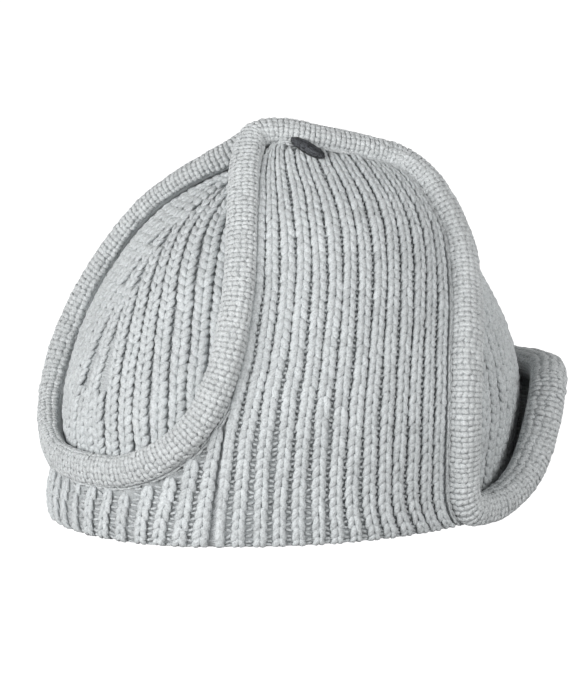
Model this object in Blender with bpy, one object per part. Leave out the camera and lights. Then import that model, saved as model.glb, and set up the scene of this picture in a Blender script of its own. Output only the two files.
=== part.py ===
import math
from collections import namedtuple

import bpy
import numpy as np
from mathutils import Vector

# A knitted aviator hat at rest on its hem. Sizes are in millimetres, +Z is up,
# the brim points towards -Y, and angles run round the hat from the front (0)
# over the wearer's right ear (90, at -X) to the nape (180).
MM = 0.001

HALF_DEPTH = 104.0        # crown outside its ribs, front to back
HALF_WIDTH = 84.0         # crown outside its ribs, side to side
CROWN_SETBACK = 8.239     # crown's middle, back from the middle of the whole hat
RIBS_ROUND = 72           # knit ribs round the whole hat
CROWN_WALL = 4.2          # double rib knit, from rib top to the inner face
CROWN_RIB_DEPTH = 2.0
TURN_UP_GAP = 0.9         # between the crown's ribs and the turned-up cloth
TURN_UP_WALL = 4.6
TURN_UP_RIB_DEPTH = 2.4
ROLL_GAP = 0.7            # tubular edging to the crown's rib tops
ROLL_SEAM = 0.6           # edging to the cloth that it finishes
ROLL_SIDES = 10
ROLL_SQUARENESS = 2.4     # 2 is an ellipse, more is squarer
ROLL_LEAN_SHARE = 0.48    # how much of the brim's lean its fat edging follows
SEAM_WALL = 0.7           # share of the cloth's wall left where the edging starts
TIP_LIFT = 5.4            # how far the right flap's tip stands off the crown
TIP_REACH = 24.0          # how far round the tip that lift is felt
BRIM_FLARE = 9.5          # how far the brim leans out at its full height
BRIM_FLARE_RISE = 24.0    # height by which it has leaned out
BRIM_END = 67.0           # angle where the brim's ends meet the hem
BRIM_END_SPAN = 20.0      # angle over which the ends grow to the full flare
NAPE_EASE = 3.2           # how far the band at the nape bags off the crown
NAPE_START = 128.0        # angle where that begins
NAPE_SPAN = 28.0          # angle over which it grows
HEM_FOLD = 0.45           # share of the cloth that meets the floor at the fold
BUTTON_LENGTH = 16.5
BUTTON_WIDTH = 6.4
BUTTON_HEIGHT = 2.6
BUTTON_ANGLE = 103.0      # its place on the right ear flap
BUTTON_RISE = 178.6
BUTTON_TURN = -31.0       # its long way, turned from straight down the flap
BUTTON_GAP = 0.35

CrownRow = namedtuple("CrownRow", "height back front")
EdgeRow = namedtuple("EdgeRow", "angle rise wide thick place")

# Half plan of the crown at each height, as a share of the half depth
CROWN_ROWS = [
    CrownRow(0.0, 0.955, 0.955),
    CrownRow(22.0, 0.957, 0.985),
    CrownRow(48.0, 0.968, 1.015),
    CrownRow(75.0, 0.90, 0.955),
    CrownRow(100.0, 0.775, 0.825),
    CrownRow(122.0, 0.595, 0.715),
    CrownRow(137.0, 0.385, 0.58),
    CrownRow(148.0, 0.17, 0.36),
    CrownRow(154.5, 0.08, 0.16),
    CrownRow(157.0, 0.0, 0.0),
]

# Middle of the edging on the right half of the hat, from the nape up the back
# of the ear flap, over its tip, down its front and round the notch at the
# temple to the brim. Rise is the way up the crown from the hem, and the
# edging is a tube of this width across the cloth and thickness out from it.
EDGE_ROWS = [
    EdgeRow(180.0, 28.0, 12.4, 8.6, "nape"),
    EdgeRow(166.5, 28.6, 12.4, 8.8, ""),
    EdgeRow(159.0, 31.3, 12.4, 9.2, ""),
    EdgeRow(152.5, 35.8, 12.4, 9.8, ""),
    EdgeRow(144.8, 44.4, 12.4, 10.6, ""),
    EdgeRow(139.6, 54.4, 12.4, 11.6, ""),
    EdgeRow(136.2, 69.0, 12.4, 12.2, ""),
    EdgeRow(135.0, 80.5, 12.4, 11.6, "join"),
    EdgeRow(134.6, 104.0, 12.4, 10.2, ""),
    EdgeRow(136.0, 121.0, 12.4, 9.0, ""),
    EdgeRow(141.0, 143.6, 12.4, 8.6, ""),
    EdgeRow(148.5, 159.6, 12.4, 8.8, ""),
    EdgeRow(157.0, 172.5, 12.4, 10.2, ""),
    EdgeRow(161.0, 181.5, 12.4, 10.8, "tip"),
    EdgeRow(146.0, 190.2, 12.0, 10.0, ""),
    EdgeRow(116.5, 193.0, 11.6, 8.8, ""),
    EdgeRow(84.0, 190.3, 11.6, 8.8, ""),
    EdgeRow(56.5, 181.4, 12.0, 9.6, ""),
    EdgeRow(44.5, 165.3, 12.6, 10.8, "shoulder"),
    EdgeRow(47.0, 151.3, 12.6, 10.8, ""),
    EdgeRow(51.0, 139.4, 12.6, 10.8, ""),
    EdgeRow(54.0, 126.5, 12.6, 10.8, ""),
    EdgeRow(58.0, 112.7, 13.4, 11.6, ""),
    EdgeRow(64.0, 97.0, 13.4, 11.6, ""),
    EdgeRow(70.0, 80.9, 13.4, 11.6, ""),
    EdgeRow(73.3, 69.0, 13.4, 11.6, ""),
    EdgeRow(76.0, 46.0, 13.4, 11.6, ""),
    EdgeRow(75.2, 24.0, 13.4, 11.6, ""),
    EdgeRow(74.4, 14.0, 13.0, 11.8, ""),
    EdgeRow(72.4, 8.4, 13.0, 11.8, ""),
    EdgeRow(69.2, 6.5, 13.0, 11.8, "notch"),
    EdgeRow(65.0, 6.7, 12.9, 12.4, ""),
    EdgeRow(60.3, 8.6, 12.8, 13.1, ""),
    EdgeRow(55.7, 12.8, 12.6, 13.7, ""),
    EdgeRow(51.2, 19.6, 12.5, 14.4, ""),
    EdgeRow(47.4, 28.6, 12.4, 15.0, ""),
    EdgeRow(44.6, 38.5, 12.4, 15.0, ""),
    EdgeRow(40.0, 47.0, 12.4, 15.0, ""),
    EdgeRow(31.0, 51.6, 12.4, 15.0, ""),
    EdgeRow(16.0, 51.4, 12.4, 15.0, ""),
    EdgeRow(0.0, 50.0, 12.4, 15.0, "front"),
]


def spline(points, steps, mirror=None):
    """Centripetal curve through the points, steps samples to each span.

    With a mirror, the curve's ends run on into its reflection.
    """
    pts = np.array(points, float)
    if mirror is None:
        first, last = 2 * pts[0] - pts[1], 2 * pts[-1] - pts[-2]
    else:
        first, last = pts[1] * mirror, pts[-2] * mirror
    pts = np.vstack([first, pts, last])
    samples = []
    for i in range(1, len(pts) - 2):
        p = pts[i - 1:i + 3]
        knots = [0.0]
        for a, b in zip(p, p[1:]):
            knots.append(knots[-1] + max(np.linalg.norm(b - a), 1e-6) ** 0.5)
        t0, t1, t2, t3 = knots
        for t in np.linspace(t1, t2, steps, endpoint=False):
            a1 = (p[0] * (t1 - t) + p[1] * (t - t0)) / (t1 - t0)
            a2 = (p[1] * (t2 - t) + p[2] * (t - t1)) / (t2 - t1)
            a3 = (p[2] * (t3 - t) + p[3] * (t - t2)) / (t3 - t2)
            b1 = (a1 * (t2 - t) + a2 * (t - t0)) / (t2 - t0)
            b2 = (a2 * (t3 - t) + a3 * (t - t1)) / (t3 - t1)
            samples.append((b1 * (t2 - t) + b2 * (t - t1)) / (t2 - t1))
    samples.append(pts[-2])
    return np.array(samples)


def crown_profile():
    """Rise along the crown, height, and back and front shares, as columns."""
    rows = [(r.height, r.back * HALF_DEPTH, r.front * HALF_DEPTH) for r in CROWN_ROWS]
    curve = spline(rows, 60)
    middle = (curve[:, 1] + curve[:, 2]) / 2
    steps = np.hypot(np.diff(curve[:, 0]), np.diff(middle))
    rise = np.concatenate([[0.0], np.cumsum(steps)])
    return rise, curve[:, 0], curve[:, 1] / HALF_DEPTH, curve[:, 2] / HALF_DEPTH


PROFILE = crown_profile()
APEX_RISE = PROFILE[0][-1]


def smooth_step(t):
    t = np.clip(t, 0.0, 1.0)
    return t * t * (3 - 2 * t)


def base_point(angle, rise):
    """Point on the rib tops of the crown, at an angle in degrees and a rise."""
    rises, heights, backs, fronts = PROFILE
    turn = math.radians(angle)
    height = np.interp(rise, rises, heights)
    back = np.interp(rise, rises, backs)
    front = np.interp(rise, rises, fronts)
    share = back + (front - back) * (1 + math.cos(turn)) / 2
    return np.array([-HALF_WIDTH * share * math.sin(turn),
                     CROWN_SETBACK - HALF_DEPTH * share * math.cos(turn), height])


def normal_at(angle, rise):
    """Outward direction of the crown's surface."""
    rise = min(rise, APEX_RISE - 1.0)
    round_way = base_point(angle + 0.5, rise) - base_point(angle - 0.5, rise)
    up_way = base_point(angle, rise + 0.6) - base_point(angle, max(rise - 0.6, 0.0))
    normal = np.cross(up_way, round_way)
    return normal / np.linalg.norm(normal)


def surface_point(angle, rise, stand):
    """Point that stands off the crown; on the hem it stays on the floor."""
    normal = normal_at(angle, rise)
    if rise < 1e-6:
        normal = np.array([normal[0], normal[1], 0.0])
        normal /= np.linalg.norm(normal)
    return base_point(angle, rise) + normal * stand


def rib_angles():
    """Angle of each place round the hem, measured in ribs from the front."""
    turn = np.radians(np.linspace(0.0, 180.0, 721))
    speed = np.hypot(HALF_WIDTH * np.cos(turn), HALF_DEPTH * np.sin(turn))
    steps = (speed[1:] + speed[:-1]) / 2
    way = np.concatenate([[0.0], np.cumsum(steps)])
    return way / way[-1] * RIBS_ROUND / 2, np.degrees(turn)


RIB_TABLE = rib_angles()


def angle_of_rib(rib):
    whole, part = divmod(rib, RIBS_ROUND)
    if part > RIBS_ROUND / 2:
        return 360.0 - float(np.interp(RIBS_ROUND - part, *RIB_TABLE))
    return float(np.interp(part, *RIB_TABLE))


def rib_of_angle(angle):
    return float(np.interp(angle, RIB_TABLE[1], RIB_TABLE[0]))


def unroll(angle, rise):
    """Place on the crown drawn flat: the apex in the middle, the front down."""
    reach = APEX_RISE - rise
    turn = math.radians(angle)
    return np.array([reach * math.sin(turn), -reach * math.cos(turn)])


def roll_up(flat):
    """Angle and rise of a place on the flat drawing."""
    reach = math.hypot(flat[0], flat[1])
    return math.degrees(math.atan2(flat[0], -flat[1])), APEX_RISE - reach


def tip_lift(flat, lifted):
    """How far the cloth stands up round the flap's tip."""
    if not lifted:
        return 0.0
    tip = next(r for r in EDGE_ROWS if r.place == "tip")
    away = np.linalg.norm(flat - unroll(tip.angle, tip.rise))
    return TIP_LIFT * math.exp(-(away / TIP_REACH) ** 2)


def brim_lean(angle, rise):
    """How far the brim leans out from the crown."""
    up = math.sin(min(max(rise, 0.0) / BRIM_FLARE_RISE, 1.0) * math.pi / 2)
    grown = smooth_step((BRIM_END - abs(angle)) / BRIM_END_SPAN)
    return BRIM_FLARE * up * math.sqrt(float(grown))


def nape_ease(angle, rise):
    """How far the band bags off the crown below the nape's edging."""
    round_way = smooth_step((abs(angle) - NAPE_START) / NAPE_SPAN)
    up_way = smooth_step((26.0 - rise) / 16.0)
    return NAPE_EASE * float(round_way * up_way)


def edge_route():
    """Edging's middle on the flat drawing, its size, and each place's index."""
    steps = 12
    flat = spline([unroll(r.angle, r.rise) for r in EDGE_ROWS], steps, (-1.0, 1.0))
    size = spline([(r.wide, r.thick) for r in EDGE_ROWS], steps, (1.0, 1.0))
    places = {r.place: i * steps for i, r in enumerate(EDGE_ROWS) if r.place}
    return flat, size, places


def stretch_at(flat):
    """Crown's directions that go with one step right and up the flat drawing."""
    step = 0.5
    origin = base_point(*roll_up(flat))
    axes = (np.array([step, 0.0]), np.array([0.0, step]))
    return np.array([(base_point(*roll_up(flat + a)) - origin) / step for a in axes])


def inset_route():
    """The edging's route moved in to where the cloth begins."""
    flat, size, places = edge_route()
    moved = []
    for i, here in enumerate(flat):
        ahead = flat[min(i + 1, len(flat) - 1)] - flat[max(i - 1, 0)]
        stretch = stretch_at(here)
        metric = stretch @ stretch.T
        side = np.linalg.solve(metric, np.array([-ahead[1], ahead[0]]))
        length = math.sqrt(side @ metric @ side)
        moved.append(here + side / length * (size[i][0] / 2 + ROLL_SEAM))
    return np.array(moved), places


def along(points, shares):
    """Points at the given shares of a polyline's length."""
    points = np.array(points)
    steps = np.linalg.norm(np.diff(points, axis=0), axis=1)
    way = np.concatenate([[0.0], np.cumsum(steps)]) / steps.sum()
    return np.column_stack([np.interp(shares, way, points[:, i]) for i in range(2)])


def patch(bottom, top, left, right):
    """Grid between four curves, as [row][column] places on the flat drawing."""
    columns, rows = len(bottom), len(left)
    grid = []
    for j in range(rows):
        v = j / (rows - 1)
        line = []
        for i in range(columns):
            u = i / (columns - 1)
            corners = ((1 - u) * (1 - v) * bottom[0] + u * (1 - v) * bottom[-1]
                       + (1 - u) * v * top[0] + u * v * top[-1])
            line.append((1 - v) * bottom[i] + v * top[i]
                        + (1 - u) * left[j] + u * right[j] - corners)
        grid.append(line)
    return grid


def finish_mesh(name, vertices, faces, colour, roughness):
    """Object of its own, in metres, smooth shaded, with its own material."""
    mesh = bpy.data.meshes.new(name)
    mesh.from_pydata([Vector(v) * MM for v in vertices], [], faces)
    mesh.shade_smooth()
    mesh.set_sharp_from_angle(angle=math.radians(50))
    material = bpy.data.materials.new(name + "_finish")
    material.use_nodes = True
    shader = material.node_tree.nodes["Principled BSDF"]
    shader.inputs["Base Color"].default_value = (*colour, 1.0)
    shader.inputs["Roughness"].default_value = roughness
    shader.inputs["Metallic"].default_value = 0.0
    mesh.materials.append(material)
    piece = bpy.data.objects.new(name, mesh)
    bpy.context.scene.collection.objects.link(piece)
    return piece


def shell(name, cells, outer, inner, colour, roughness):
    """Wall between an outer and an inner sheet that share their cells."""
    keys = list(outer)
    number = {key: i for i, key in enumerate(keys)}
    offset = len(keys)
    vertices = [outer[k] for k in keys] + [inner[k] for k in keys]
    faces = []
    used = set()
    for cell in cells:
        ring = [number[k] for k in cell]
        faces.append(ring)
        faces.append([i + offset for i in reversed(ring)])
        used.update(zip(ring, ring[1:] + ring[:1]))
    for a, b in sorted(used):
        if (b, a) not in used:
            faces.append([b, a, a + offset, b + offset])
    return finish_mesh(name, vertices, faces, colour, roughness)


def make_crown():
    """Ribbed dome with an open, hollow inside and a flat hem."""
    outer_rises = [0.0, 20.0, 42.0, 65.0, 90.0, 116.0, 140.0, 161.0, 179.0, 194.0]
    inner_rises = [0.0, 26.0, 56.0, 88.0, 120.0, 148.0, 173.0, 193.0]
    vertices, faces = [], []
    around = 2 * RIBS_ROUND
    for rise in outer_rises:
        depth = CROWN_RIB_DEPTH * (0.35 + 0.65 * float(smooth_step((APEX_RISE - rise) / 90.0)))
        for i in range(around):
            stand = 0.0 if i % 2 == 0 else -depth
            vertices.append(surface_point(angle_of_rib(i / 2), rise, stand))
    outer_apex = len(vertices)
    vertices.append(base_point(0.0, APEX_RISE))
    inner_start = len(vertices)
    for rise in inner_rises:
        for i in range(RIBS_ROUND):
            vertices.append(surface_point(angle_of_rib(i), rise, -CROWN_WALL))
    inner_apex = len(vertices)
    vertices.append(base_point(0.0, APEX_RISE) - np.array([0.0, 0.0, CROWN_WALL]))

    for j in range(len(outer_rises) - 1):
        for i in range(around):
            a, b = j * around + i, j * around + (i + 1) % around
            faces.append([b, a, a + around, b + around])
    top = (len(outer_rises) - 1) * around
    for i in range(around):
        faces.append([top + (i + 1) % around, top + i, outer_apex])
    for j in range(len(inner_rises) - 1):
        for i in range(RIBS_ROUND):
            a = inner_start + j * RIBS_ROUND + i
            b = inner_start + j * RIBS_ROUND + (i + 1) % RIBS_ROUND
            faces.append([a, b, b + RIBS_ROUND, a + RIBS_ROUND])
    top = inner_start + (len(inner_rises) - 1) * RIBS_ROUND
    for i in range(RIBS_ROUND):
        faces.append([top + i, top + (i + 1) % RIBS_ROUND, inner_apex])
    for i in range(RIBS_ROUND):
        crest, valley, next_crest = 2 * i, 2 * i + 1, (2 * i + 2) % around
        here, ahead = inner_start + i, inner_start + (i + 1) % RIBS_ROUND
        faces += [[crest, valley, here], [valley, ahead, here], [valley, next_crest, ahead]]
    return finish_mesh("crown", vertices, faces, (0.55, 0.58, 0.59), 0.9)


def flap_grids():
    """Flap and nape patches of the right half, and the rib of each column."""
    inset, places = inset_route()
    join, tip = places["join"], places["tip"]
    shoulder, notch = places["shoulder"], places["notch"]
    rises = np.array([roll_up(p)[1] for p in inset])
    foot = next(i for i in range(shoulder, notch + 20) if rises[i] <= 0.5)
    front_angle = roll_up(inset[foot])[0]
    join_angle, join_rise = roll_up(inset[join])

    first_rib = rib_of_angle(front_angle)
    join_rib = round(2 * rib_of_angle(join_angle)) / 2
    flap_ribs = [first_rib] + list(np.arange(math.ceil(first_rib * 2 + 0.5) / 2,
                                             join_rib + 0.01, 0.5))
    nape_ribs = list(np.arange(join_rib, RIBS_ROUND / 2 + 0.01, 0.5))

    low_shares = [0.0, 0.06, 0.2, 0.4, 0.6, 0.8, 1.0]
    high_rows = 7
    hem_angle = angle_of_rib(join_rib)
    low = [unroll(hem_angle + (join_angle - hem_angle) * t ** 1.5, join_rise * t)
           for t in low_shares]
    high = list(along(inset[join:tip + 1], np.linspace(0.0, 1.0, high_rows + 1)))
    back_side = low + high[1:]
    lengths = np.linalg.norm(np.diff(np.array(back_side), axis=0), axis=1)
    rows = np.concatenate([[0.0], np.cumsum(lengths)]) / lengths.sum()
    front_line = [unroll(front_angle, 0.0)] + list(inset[shoulder:foot][::-1])
    front_side = along(front_line, rows)
    span = flap_ribs[-1] - flap_ribs[0]
    shares = [(r - flap_ribs[0]) / span for r in flap_ribs]
    hem = [unroll(angle_of_rib(r), 0.0) for r in flap_ribs]
    head = along(inset[tip:shoulder + 1][::-1], shares)
    flap = patch(hem, head, front_side, back_side)

    nape_hem = [unroll(angle_of_rib(r), 0.0) for r in nape_ribs]
    nape_span = nape_ribs[-1] - nape_ribs[0]
    nape_shares = [(r - nape_ribs[0]) / nape_span for r in nape_ribs]
    nape_head = along(inset[:join + 1][::-1], nape_shares)
    centre = [unroll(180.0, roll_up(inset[0])[1] * t) for t in low_shares]
    nape = patch(nape_hem, nape_head, low, centre)
    return flap, flap_ribs, nape, nape_ribs


def cloth_wall(valley, at_hem, at_edging):
    """Turned-up cloth's thickness, folded in at the hem, thinner at the seam."""
    if at_hem:
        return TURN_UP_WALL * HEM_FOLD
    return (TURN_UP_WALL - valley) * (SEAM_WALL if at_edging else 1.0)


def mirrored(point):
    return np.array([-point[0], point[1], point[2]])


def make_ear_flap_band():
    """Both turned-up ear flaps and the low band that joins them at the nape."""
    flap, flap_ribs, nape, nape_ribs = flap_grids()
    outer, inner, cells = {}, {}, []

    def sheet(grid, ribs, label, side):
        rows, columns = len(grid), len(grid[0])

        def key(j, i):
            if label == "nape" and i == 0:
                return (side, "flap", j, len(flap_ribs) - 1)
            if label == "nape" and i == columns - 1:
                return ("both", "nape", j, i)
            return (side, label, j, i)

        for j in range(rows):
            for i in range(columns):
                if key(j, i) in outer:
                    continue
                place = grid[j][i]
                angle, rise = roll_up(place)
                rise = 0.0 if j == 0 else rise
                stand = TURN_UP_GAP + nape_ease(angle, rise) + tip_lift(place, side == "right")
                valley = TURN_UP_RIB_DEPTH if (ribs[i] * 2) % 2 == 1 else 0.0
                wall = cloth_wall(valley, j == 0, j == rows - 1)
                near = surface_point(angle, rise, stand)
                far = surface_point(angle, rise, stand + wall)
                if side == "left":
                    near, far = mirrored(near), mirrored(far)
                near[2], far[2] = max(near[2], 0.0), max(far[2], 0.0)
                inner[key(j, i)], outer[key(j, i)] = near, far
        for j in range(rows - 1):
            for i in range(columns - 1):
                ring = [key(j, i), key(j + 1, i), key(j + 1, i + 1), key(j, i + 1)]
                cells.append(ring if side == "right" else ring[::-1])

    for side in ("right", "left"):
        sheet(flap, flap_ribs, "flap", side)
        sheet(nape, nape_ribs, "nape", side)
    return shell("ear_flap_band", cells, outer, inner, (0.50, 0.53, 0.54), 0.92)


def make_front_brim():
    """Brim turned up across the forehead, leaning out from the crown."""
    inset, places = inset_route()
    brim = [roll_up(p) for p in inset[places["notch"]:]]
    angles = [a for a, rise in brim if rise > 0.0][::-1]
    rises = [rise for a, rise in brim if rise > 0.0][::-1]
    shortest = 5.0
    end_angle = max(a for a, rise in zip(angles, rises) if rise >= shortest)
    end_rib = rib_of_angle(end_angle)
    inner_ribs = list(np.arange(0.0, end_rib - 0.3, 0.5))
    ribs = [-end_rib] + [-r for r in inner_ribs[:0:-1]] + inner_ribs + [end_rib]
    rows = 7
    outer, inner, cells = {}, {}, []
    for i, rib in enumerate(ribs):
        angle = angle_of_rib(abs(rib))
        head = float(np.interp(angle, angles, rises))
        for j in range(rows + 1):
            rise = head * j / rows
            stand = TURN_UP_GAP + brim_lean(angle, rise)
            valley = TURN_UP_RIB_DEPTH if (abs(rib) * 2) % 2 == 1 else 0.0
            wall = cloth_wall(valley, j == 0, j == rows)
            near = surface_point(angle, rise, stand)
            far = surface_point(angle, rise, stand + wall)
            if rib < 0:
                near, far = mirrored(near), mirrored(far)
            inner[(i, j)], outer[(i, j)] = near, far
    for i in range(len(ribs) - 1):
        for j in range(rows):
            cells.append([(i, j), (i, j + 1), (i + 1, j + 1), (i + 1, j)])
    return shell("front_brim", cells, outer, inner, (0.50, 0.53, 0.54), 0.92)


def edging_stations(lifted):
    """Centre, outward direction and size along one half of the edging."""
    route, size, places = edge_route()
    stations = []
    for i, flat in enumerate(route):
        angle, rise = roll_up(flat)
        stand = ROLL_GAP + size[i][1] / 2
        if i >= places["notch"]:
            stand += brim_lean(angle, rise) * ROLL_LEAN_SHARE
        else:
            stand += tip_lift(flat, lifted)
        stations.append((surface_point(angle, rise, stand), normal_at(angle, rise), size[i]))
    return stations


def thin_out(places, spacing, tight_spacing):
    """Which places to keep along the edging, closer where it turns tightly."""
    last = len(places) - 1
    kept = [0]
    for i in range(1, last):
        before = places[i] - places[max(i - 6, 0)]
        after = places[min(i + 6, last)] - places[i]
        turn = before @ after / (np.linalg.norm(before) * np.linalg.norm(after) + 1e-9)
        gap = tight_spacing if turn < 0.93 else spacing
        from_kept = np.linalg.norm(places[i] - places[kept[-1]])
        if from_kept >= gap and np.linalg.norm(places[i] - places[last]) >= gap * 0.6:
            kept.append(i)
    return kept + [last]


def make_edging():
    """One closed tubular roll round the flaps, the nape and the brim."""
    right, left = edging_stations(True), edging_stations(False)
    kept = thin_out([station[0] for station in left], 9.5, 4.5)
    loop = [right[i] for i in kept[:-1]]
    loop += [(mirrored(left[i][0]), mirrored(left[i][1]), left[i][2]) for i in kept[:0:-1]]
    count = len(loop)
    vertices, faces = [], []
    for i in range(count):
        centre, normal, (wide, thick) = loop[i]
        ahead = loop[(i + 1) % count][0] - loop[i - 1][0]
        ahead /= np.linalg.norm(ahead)
        side = np.cross(ahead, normal)
        side /= np.linalg.norm(side)
        out = np.cross(side, ahead)
        for s in range(ROLL_SIDES):
            turn = 2 * math.pi * (s + 0.5) / ROLL_SIDES
            across, outward = math.cos(turn), math.sin(turn)
            power = 2 / ROLL_SQUARENESS
            point = (centre
                     + side * math.copysign(abs(across) ** power, across) * wide / 2
                     + out * math.copysign(abs(outward) ** power, outward) * thick / 2)
            point[2] = max(point[2], 0.0)
            vertices.append(point)
    for i in range(count):
        ahead = (i + 1) % count
        for s in range(ROLL_SIDES):
            t = (s + 1) % ROLL_SIDES
            faces.append([ahead * ROLL_SIDES + s, ahead * ROLL_SIDES + t,
                          i * ROLL_SIDES + t, i * ROLL_SIDES + s])
    return finish_mesh("edging", vertices, faces, (0.60, 0.62, 0.63), 0.9)


def make_tip_button():
    """Oval thread-covered button that lies on the right flap near its tip."""
    centre = unroll(BUTTON_ANGLE, BUTTON_RISE)
    stretch = stretch_at(centre)
    normal = normal_at(BUTTON_ANGLE, BUTTON_RISE)
    down = base_point(BUTTON_ANGLE, BUTTON_RISE - 1.0) - base_point(BUTTON_ANGLE, BUTTON_RISE)
    down /= np.linalg.norm(down)
    forward = np.cross(down, normal)
    turn = math.radians(BUTTON_TURN)
    long_way = down * math.cos(turn) + forward * math.sin(turn)
    wide_way = np.cross(normal, long_way)
    to_flat = np.linalg.pinv(stretch.T)
    bed = TURN_UP_GAP + TURN_UP_WALL + BUTTON_GAP
    sides = 20
    rings = [(0.90, 0.0), (1.0, 0.3), (0.97, 0.62), (0.8, 0.88), (0.45, 0.99)]

    def point(share, turn, height):
        offset = (long_way * math.cos(turn) * BUTTON_LENGTH / 2
                  + wide_way * math.sin(turn) * BUTTON_WIDTH / 2) * share
        flat = centre + to_flat @ offset
        stand = bed + tip_lift(flat, True) + height * BUTTON_HEIGHT
        return surface_point(*roll_up(flat), stand)

    vertices, faces = [], []
    for share, height in rings:
        for i in range(sides):
            vertices.append(point(share, 2 * math.pi * i / sides, height))
    bottom, top = len(vertices), len(vertices) + 1
    vertices += [point(0.0, 0.0, 0.0), point(0.0, 0.0, 1.0)]
    last = (len(rings) - 1) * sides
    for i in range(sides):
        k = (i + 1) % sides
        for j in range(len(rings) - 1):
            a = j * sides
            faces.append([a + i, a + k, a + k + sides, a + i + sides])
        faces += [[bottom, k, i], [last + i, last + k, top]]
    return finish_mesh("tip_button", vertices, faces, (0.035, 0.037, 0.042), 0.75)


def main():
    for old in list(bpy.data.objects):
        bpy.data.objects.remove(old, do_unlink=True)
    make_crown()
    make_ear_flap_band()
    make_front_brim()
    make_edging()
    make_tip_button()


main()
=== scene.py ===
import math

import bpy
import numpy as np
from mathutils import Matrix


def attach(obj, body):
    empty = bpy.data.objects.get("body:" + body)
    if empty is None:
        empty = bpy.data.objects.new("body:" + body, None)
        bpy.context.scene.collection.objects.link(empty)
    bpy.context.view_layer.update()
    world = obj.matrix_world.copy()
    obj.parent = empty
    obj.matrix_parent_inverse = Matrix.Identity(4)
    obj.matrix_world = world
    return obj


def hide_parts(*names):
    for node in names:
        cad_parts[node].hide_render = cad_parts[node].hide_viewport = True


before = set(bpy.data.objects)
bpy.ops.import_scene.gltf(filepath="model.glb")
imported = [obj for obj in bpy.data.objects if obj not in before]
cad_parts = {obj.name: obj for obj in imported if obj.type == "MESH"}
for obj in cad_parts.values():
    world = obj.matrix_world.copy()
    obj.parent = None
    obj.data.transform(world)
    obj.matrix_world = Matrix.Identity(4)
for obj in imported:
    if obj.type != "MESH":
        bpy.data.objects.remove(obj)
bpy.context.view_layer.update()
bpy.ops.object.select_all(action="DESELECT")
print("frame loaded")

# Camera at the photograph's angle: behind the wearer's right ear, a little above
view = {"azimuth": -125.0, "elevation": 9.0, "distance": 1.4, "aim": (0.0, 0.008239, 0.066),
        "lens": 169.4, "shiftX": 2 / 700}


def addCamera():
    turn, rise = math.radians(view["azimuth"]), math.radians(view["elevation"])
    x, y, z = view["aim"]
    away = view["distance"]
    place = (x + away * math.sin(turn) * math.cos(rise),
             y - away * math.cos(turn) * math.cos(rise), z + away * math.sin(rise))
    bpy.ops.object.camera_add(location=place, rotation=(math.pi / 2 - rise, 0, turn))
    camera = bpy.context.object
    camera.data.sensor_width = 36.0
    camera.data.lens = view["lens"]
    camera.data.shift_x = view["shiftX"]
    bpy.context.scene.camera = camera


addCamera()
print("camera set")

# The hat's own shape, in millimetres, the same as in the part's source
hat = {
    "halfDepth": 104.0, "halfWidth": 84.0, "setback": 8.239, "ribs": 72,
    "crownWall": 4.2, "turnUpGap": 0.9, "turnUpWall": 4.6,
    "rollGap": 0.7, "rollSeam": 0.6, "rollSquareness": 2.4, "rollLeanShare": 0.48,
    "hemFold": 0.45, "tipLift": 5.4, "tipReach": 24.0,
    "brimFlare": 9.5, "brimFlareRise": 24.0, "brimEnd": 67.0, "brimEndSpan": 20.0,
    "napeEase": 3.2, "napeStart": 128.0, "napeSpan": 28.0,
}

crownRows = [  # height, back share, front share
    (0.0, 0.955, 0.955), (22.0, 0.957, 0.985), (48.0, 0.968, 1.015), (75.0, 0.90, 0.955),
    (100.0, 0.775, 0.825), (122.0, 0.595, 0.715), (137.0, 0.385, 0.58),
    (148.0, 0.17, 0.36), (154.5, 0.08, 0.16), (157.0, 0.0, 0.0),
]

edgeRows = [  # angle, rise, width, thickness of the edging, from the nape to the front
    (180.0, 28.0, 12.4, 8.6), (166.5, 28.6, 12.4, 8.8), (159.0, 31.3, 12.4, 9.2),
    (152.5, 35.8, 12.4, 9.8), (144.8, 44.4, 12.4, 10.6), (139.6, 54.4, 12.4, 11.6),
    (136.2, 69.0, 12.4, 12.2), (135.0, 80.5, 12.4, 11.6), (134.6, 104.0, 12.4, 10.2),
    (136.0, 121.0, 12.4, 9.0), (141.0, 143.6, 12.4, 8.6), (148.5, 159.6, 12.4, 8.8),
    (157.0, 172.5, 12.4, 10.2), (161.0, 181.5, 12.4, 10.8), (146.0, 190.2, 12.0, 10.0),
    (116.5, 193.0, 11.6, 8.8), (84.0, 190.3, 11.6, 8.8), (56.5, 181.4, 12.0, 9.6),
    (44.5, 165.3, 12.6, 10.8), (47.0, 151.3, 12.6, 10.8), (51.0, 139.4, 12.6, 10.8),
    (54.0, 126.5, 12.6, 10.8), (58.0, 112.7, 13.4, 11.6), (64.0, 97.0, 13.4, 11.6),
    (70.0, 80.9, 13.4, 11.6), (73.3, 69.0, 13.4, 11.6), (76.0, 46.0, 13.4, 11.6),
    (75.2, 24.0, 13.4, 11.6), (74.4, 14.0, 13.0, 11.8), (72.4, 8.4, 13.0, 11.8),
    (69.2, 6.5, 13.0, 11.8), (65.0, 6.7, 12.9, 12.4), (60.3, 8.6, 12.8, 13.1),
    (55.7, 12.8, 12.6, 13.7), (51.2, 19.6, 12.5, 14.4), (47.4, 28.6, 12.4, 15.0),
    (44.6, 38.5, 12.4, 15.0), (40.0, 47.0, 12.4, 15.0), (31.0, 51.6, 12.4, 15.0),
    (16.0, 51.4, 12.4, 15.0), (0.0, 50.0, 12.4, 15.0),
]
placeRow = {"join": 6, "tip": 13, "shoulder": 18, "notch": 30}
routeSteps = 12


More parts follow.
